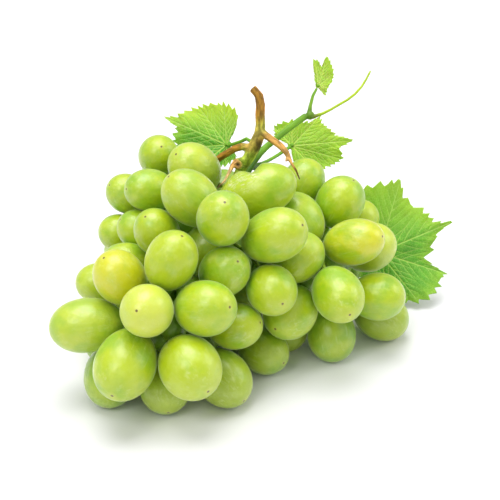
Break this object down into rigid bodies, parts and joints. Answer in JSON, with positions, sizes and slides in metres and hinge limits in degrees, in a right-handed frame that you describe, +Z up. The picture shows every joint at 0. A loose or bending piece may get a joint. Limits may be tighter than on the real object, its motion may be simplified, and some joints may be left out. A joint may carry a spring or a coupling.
{
  "type": "bunch of green grapes",
  "caption": "Bunch of oval green table grapes on a branching woody stem, lying on its side with a young vine shoot, lobed leaves and a tendril behind it.",
  "frame": {"origin": "middle of the footprint, on the table the bunch lies on", "axes": "+Z up from the table; +X to the right across the bunch as seen from the side that shows the most berries; +Y away from that side, toward the leaves"},
  "size_m": [0.1628, 0.1316, 0.1026],
  "materials": {
    "skin": "waxy, slightly translucent, with a thin pale bloom",
    "ripe_skin": "waxy, slightly translucent, yellower",
    "shaded_skin": "waxy, slightly translucent, greener",
    "bark": "dry fibrous bark, green to brown",
    "shoot": "smooth green stalk, satin",
    "leaf": "soft leaf with pale raised veins, satin",
    "young_leaf": "soft young leaf with pale veins, satin"
  },
  "bodies": {
    "root": {"berry_01": "skin", "berry_02": "skin", "berry_03": "skin", "berry_04": "skin", "berry_05": "skin", "berry_06": "skin", "berry_07": "ripe_skin", "berry_08": "skin", "berry_09": "skin", "berry_10": "skin", "berry_11": "skin", "berry_12": "skin", "berry_13": "skin", "berry_14": "skin", "berry_15": "skin", "berry_16": "skin", "berry_17": "skin", "berry_18": "skin", "berry_19": "skin", "berry_20": "skin", "berry_21": "skin", "berry_22": "skin", "berry_23": "skin", "berry_24": "skin", "berry_25": "skin", "berry_26": "skin", "berry_27": "skin", "berry_28": "skin", "berry_29": "ripe_skin", "berry_30": "skin", "berry_31": "skin", "berry_32": "skin", "berry_33": "skin", "berry_34": "shaded_skin", "berry_35": "shaded_skin", "berry_36": "shaded_skin", "berry_37": "shaded_skin", "berry_38": "shaded_skin", "berry_39": "shaded_skin", "berry_40": "shaded_skin", "berry_41": "shaded_skin", "berry_42": "shaded_skin", "berry_43": "shaded_skin", "berry_44": "shaded_skin", "berry_45": "shaded_skin", "berry_46": "shaded_skin", "berry_47": "shaded_skin", "berry_48": "shaded_skin", "berry_49": "shaded_skin", "berry_50": "shaded_skin", "berry_51": "shaded_skin", "berry_52": "shaded_skin", "berry_53": "shaded_skin", "berry_54": "shaded_skin", "stem": "bark", "shoot": "shoot", "leaf_right": "leaf", "leaf_left": "leaf", "leaf_back": "young_leaf", "leaf_young": "young_leaf"}
  },
  "joints": []
}
